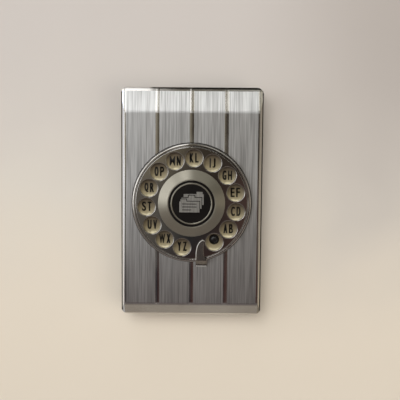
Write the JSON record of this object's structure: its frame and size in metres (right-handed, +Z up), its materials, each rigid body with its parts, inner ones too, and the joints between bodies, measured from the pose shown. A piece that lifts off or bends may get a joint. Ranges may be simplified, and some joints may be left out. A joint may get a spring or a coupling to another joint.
{
  "type": "pop up telephone index",
  "caption": "Flat desk index of cards under a sprung silver lid, with a finger dial that moves a card selector and a press bar at the front that frees the lid.",
  "frame": {"origin": "on the desk under the middle of the closed index", "axes": "+X to the right of a user who faces the press bar, +Y towards the hinge, +Z up"},
  "size_m": [0.111, 0.181, 0.0385],
  "materials": {
    "lid_steel": "fine lined satin panels with polished stripes",
    "polished": "polished",
    "satin_hub": "spun satin",
    "cream": "satin cream paint",
    "black": "gloss black",
    "tray_paint": "semi-gloss black paint",
    "rubber_foot": "matt rubber",
    "steel": "plain steel",
    "spring_steel": "spring wire",
    "gear_brass": "machined brass",
    "plated": "zinc plated",
    "card_stock": "matt card"
  },
  "bodies": {
    "base": {"tray_walls": "tray_paint", "tray_floor": "tray_paint", "press_spring_seats": "plated", "card_bed": "tray_paint", "foot_front_left": "rubber_foot", "foot_front_right": "rubber_foot", "foot_rear_left": "rubber_foot", "foot_rear_right": "rubber_foot", "hinge_rod": "steel", "torsion_spring_left": "spring_steel", "torsion_spring_right": "spring_steel", "card_loop_left": "steel", "card_loop_right": "steel", "press_spring_left": "spring_steel", "press_spring_right": "spring_steel"},
    "press": {"press_bar": "polished", "latch_hook_left": "plated", "latch_hook_right": "plated"},
    "lid": {"lid_cover": "lid_steel", "lid_ear_left": "plated", "lid_ear_right": "plated", "lid_catch_left": "plated", "lid_catch_right": "plated", "number_plate": "cream", "dial_rim": "polished", "finger_stop": "polished", "finger_stop_rivets": "steel", "shaft_bushing": "gear_brass", "bushing_nut": "plated", "carrier_plate": "plated", "carrier_standoffs": "plated", "carrier_screws": "steel"},
    "dial": {"finger_wheel": "polished", "hub_ring": "satin_hub", "centre_disc": "black", "disc_ring": "polished", "dial_shaft": "steel", "pinion": "gear_brass", "retaining_clip": "spring_steel"},
    "selector": {"selector_slide": "plated", "guide_pins": "steel"},
    "card_top": {"card_top": "card_stock"},
    "card_ab": {"card_ab": "card_stock"},
    "card_cd": {"card_cd": "card_stock"},
    "card_ef": {"card_ef": "card_stock"},
    "card_gh": {"card_gh": "card_stock"},
    "card_ij": {"card_ij": "card_stock"},
    "card_kl": {"card_kl": "card_stock"},
    "card_mn": {"card_mn": "card_stock"},
    "card_op": {"card_op": "card_stock"},
    "card_qr": {"card_qr": "card_stock"},
    "card_st": {"card_st": "card_stock"},
    "card_uv": {"card_uv": "card_stock"},
    "card_wx": {"card_wx": "card_stock"},
    "card_yz": {"card_yz": "card_stock"}
  },
  "joints": [
    {"name": "lid_open", "type": "hinge", "parent": "base", "child": "lid", "pos_m": [0, 0.0855, 0.013], "axis": [-1, 0, 0], "range_deg": [0, 70]},
    {"name": "dial_turn", "type": "hinge", "parent": "lid", "child": "dial", "pos_m": [0, 0.0005, 0.03], "axis": [0, 0, 1], "range_deg": [-317.46, 0]},
    {"name": "selector_travel", "type": "slide", "parent": "lid", "child": "selector", "axis": [1, 0, 0], "range_m": [-0.0466, 0]},
    {"name": "press_bar_push", "type": "slide", "parent": "base", "child": "press", "axis": [0, 1, 0], "range_m": [0, 0.0025], "stiffness_N_per_m": 800, "springref_m": -0.001, "deforming": ["press_spring_left", "press_spring_right"]},
    {"name": "card_top_turn", "type": "hinge", "parent": "base", "child": "card_top", "pos_m": [0, 0.0855, 0.013], "axis": [-1, 0, 0], "range_deg": [0, 67]},
    {"name": "card_ab_turn", "type": "hinge", "parent": "base", "child": "card_ab", "pos_m": [0, 0.0855, 0.013], "axis": [-1, 0, 0], "range_deg": [0, 67]},
    {"name": "card_cd_turn", "type": "hinge", "parent": "base", "child": "card_cd", "pos_m": [0, 0.0855, 0.013], "axis": [-1, 0, 0], "range_deg": [0, 67]},
    {"name": "card_ef_turn", "type": "hinge", "parent": "base", "child": "card_ef", "pos_m": [0, 0.0855, 0.013], "axis": [-1, 0, 0], "range_deg": [0, 67]},
    {"name": "card_gh_turn", "type": "hinge", "parent": "base", "child": "card_gh", "pos_m": [0, 0.0855, 0.013], "axis": [-1, 0, 0], "range_deg": [0, 67]},
    {"name": "card_ij_turn", "type": "hinge", "parent": "base", "child": "card_ij", "pos_m": [0, 0.0855, 0.013], "axis": [-1, 0, 0], "range_deg": [0, 67]},
    {"name": "card_kl_turn", "type": "hinge", "parent": "base", "child": "card_kl", "pos_m": [0, 0.0855, 0.013], "axis": [-1, 0, 0], "range_deg": [0, 67]},
    {"name": "card_mn_turn", "type": "hinge", "parent": "base", "child": "card_mn", "pos_m": [0, 0.0855, 0.013], "axis": [-1, 0, 0], "range_deg": [0, 67]},
    {"name": "card_op_turn", "type": "hinge", "parent": "base", "child": "card_op", "pos_m": [0, 0.0855, 0.013], "axis": [-1, 0, 0], "range_deg": [0, 67]},
    {"name": "card_qr_turn", "type": "hinge", "parent": "base", "child": "card_qr", "pos_m": [0, 0.0855, 0.013], "axis": [-1, 0, 0], "range_deg": [0, 67]},
    {"name": "card_st_turn", "type": "hinge", "parent": "base", "child": "card_st", "pos_m": [0, 0.0855, 0.013], "axis": [-1, 0, 0], "range_deg": [0, 67]},
    {"name": "card_uv_turn", "type": "hinge", "parent": "base", "child": "card_uv", "pos_m": [0, 0.0855, 0.013], "axis": [-1, 0, 0], "range_deg": [0, 67]},
    {"name": "card_wx_turn", "type": "hinge", "parent": "base", "child": "card_wx", "pos_m": [0, 0.0855, 0.013], "axis": [-1, 0, 0], "range_deg": [0, 67]},
    {"name": "card_yz_turn", "type": "hinge", "parent": "base", "child": "card_yz", "pos_m": [0, 0.0855, 0.013], "axis": [-1, 0, 0], "range_deg": [0, 67]}
  ],
  "couplings": [
    {"joint": "selector_travel", "follows": "dial_turn", "m_per_rad": 0.0084},
    {"joint": "card_top_turn", "follows": "lid_open", "ratio": 0.95},
    {"joint": "card_ab_turn", "follows": "lid_open", "ratio": 0.944},
    {"joint": "card_cd_turn", "follows": "lid_open", "ratio": 0.938},
    {"joint": "card_ef_turn", "follows": "lid_open", "ratio": 0.932},
    {"joint": "card_gh_turn", "follows": "lid_open", "ratio": 0.926},
    {"joint": "card_ij_turn", "follows": "lid_open", "ratio": 0.92},
    {"joint": "card_kl_turn", "follows": "lid_open", "ratio": 0.105},
    {"joint": "card_mn_turn", "follows": "lid_open", "ratio": 0.093},
    {"joint": "card_op_turn", "follows": "lid_open", "ratio": 0.081},
    {"joint": "card_qr_turn", "follows": "lid_open", "ratio": 0.069},
    {"joint": "card_st_turn", "follows": "lid_open", "ratio": 0.057},
    {"joint": "card_uv_turn", "follows": "lid_open", "ratio": 0.045},
    {"joint": "card_wx_turn", "follows": "lid_open", "ratio": 0.033},
    {"joint": "card_yz_turn", "follows": "lid_open", "ratio": 0.021}
  ]
}
